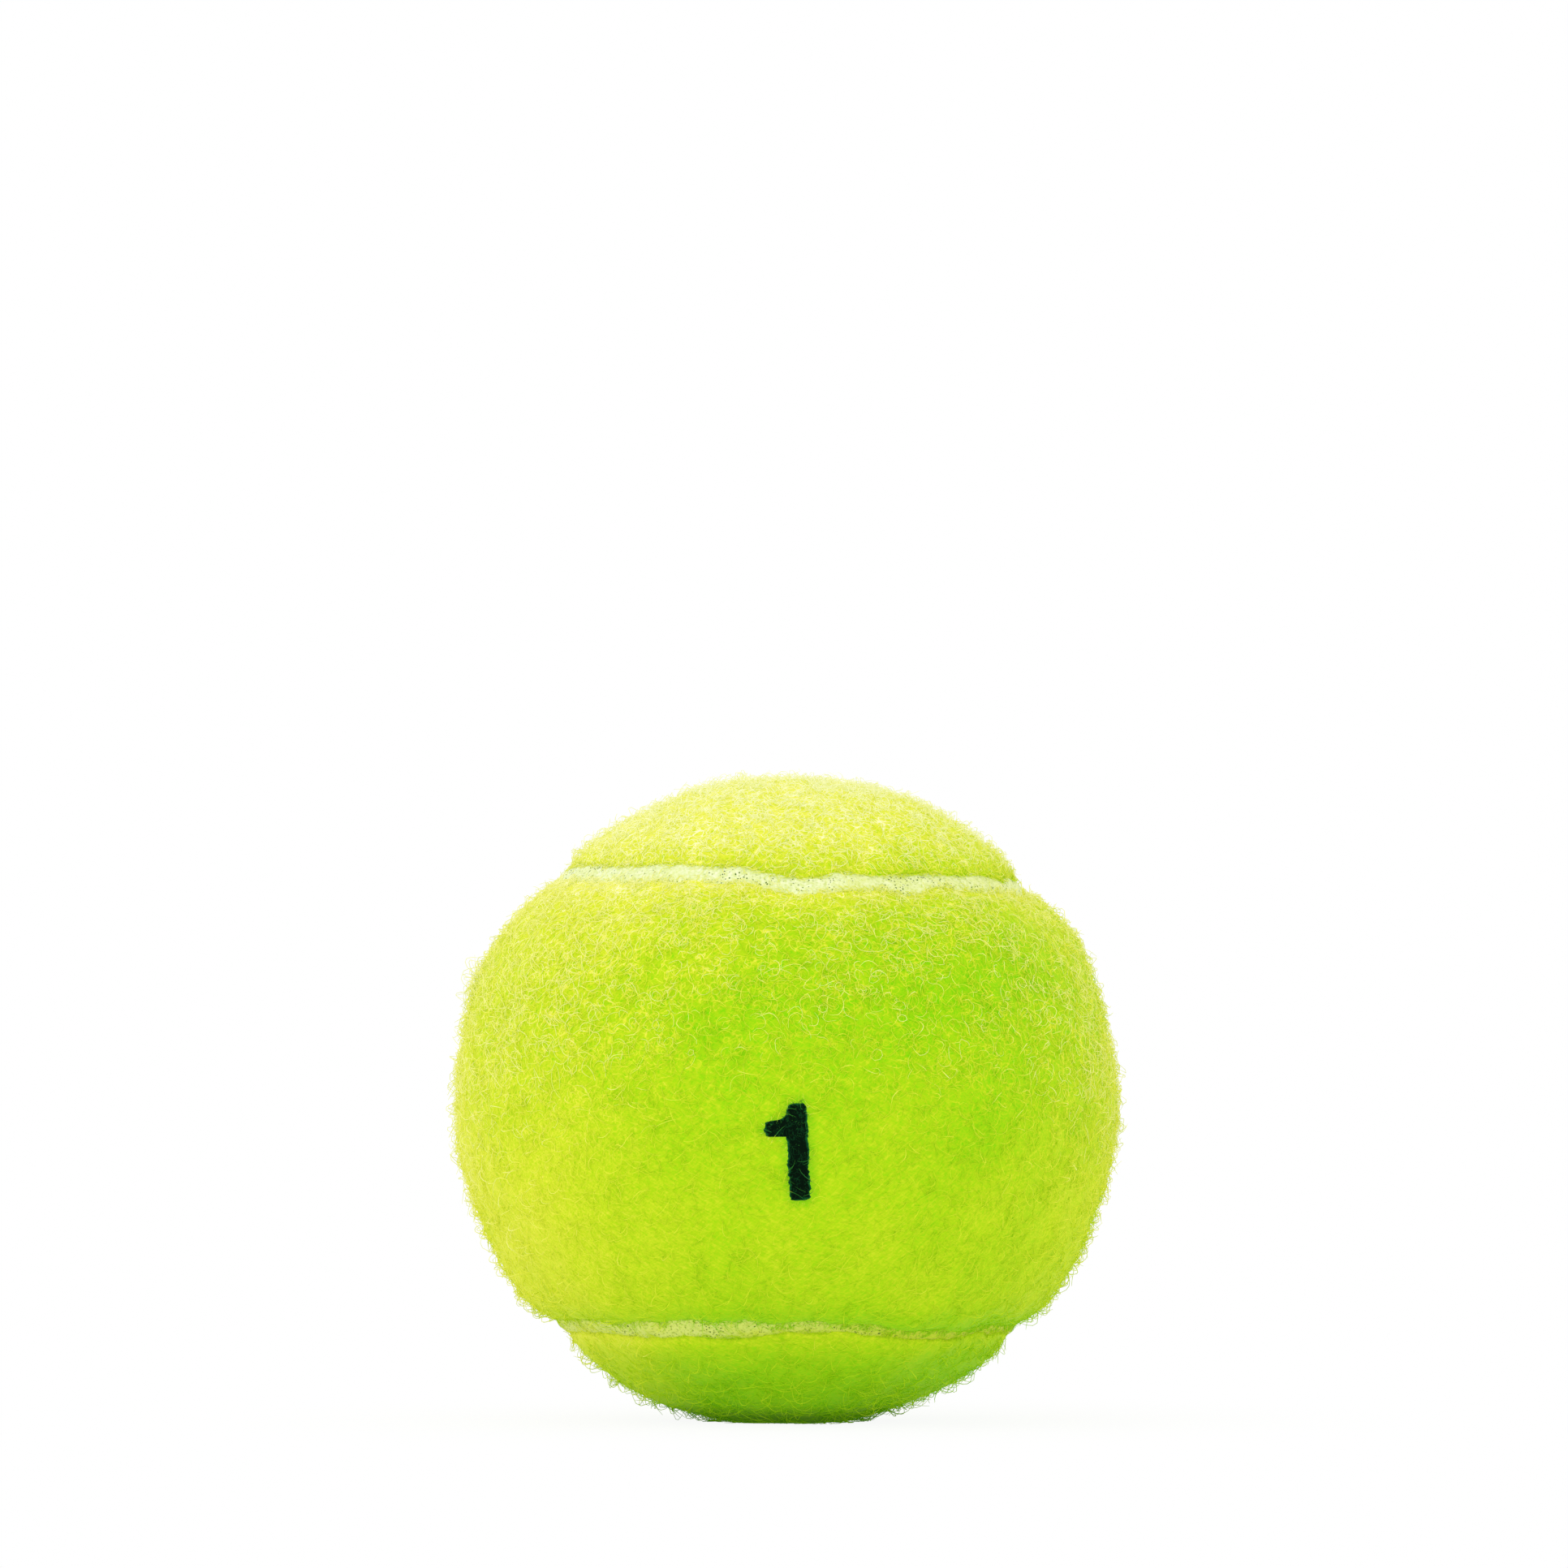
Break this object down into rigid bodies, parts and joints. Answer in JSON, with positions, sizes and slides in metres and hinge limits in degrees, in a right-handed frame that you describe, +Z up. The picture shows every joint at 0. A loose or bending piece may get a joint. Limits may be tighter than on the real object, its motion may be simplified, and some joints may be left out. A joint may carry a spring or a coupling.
{
  "type": "tennis ball",
  "caption": "Hollow pressurised rubber ball wrapped in interlocking yellow felt panels that meet in a closed, curving rubber seam, with a plain printed numeral; for racket play.",
  "frame": {"origin": "centre of the ball", "axes": "+Z up as pictured; the printed numeral and the front panel's waist face -Y, the back panel's waist faces +Y, and the front panel's lobes face +X and -X"},
  "size_m": [0.0666, 0.0666, 0.0666],
  "materials": {
    "core_rubber": "moulded natural rubber with clay filler, buffed outside",
    "bond_rubber": "cured rubber solution, slightly glossy",
    "cement": "brushed latex cement",
    "backing_cloth": "woven cotton",
    "felt": "raised curly nap of wool and nylon, fluorescent yellow",
    "seam_rubber": "cured latex, matt and finely pitted",
    "number_ink": "dark green ink soaked into the nap"
  },
  "bodies": {
    "root": {"core_half_lower": "core_rubber", "core_half_upper": "core_rubber", "core_bond": "bond_rubber", "core_cement": "cement", "panel_cement_front": "cement", "panel_cement_back": "cement", "felt_backing_front": "backing_cloth", "felt_backing_back": "backing_cloth", "felt_nap_front": "felt", "felt_nap_back": "felt", "seam_rubber": "seam_rubber", "ball_number": "number_ink"}
  },
  "joints": []
}
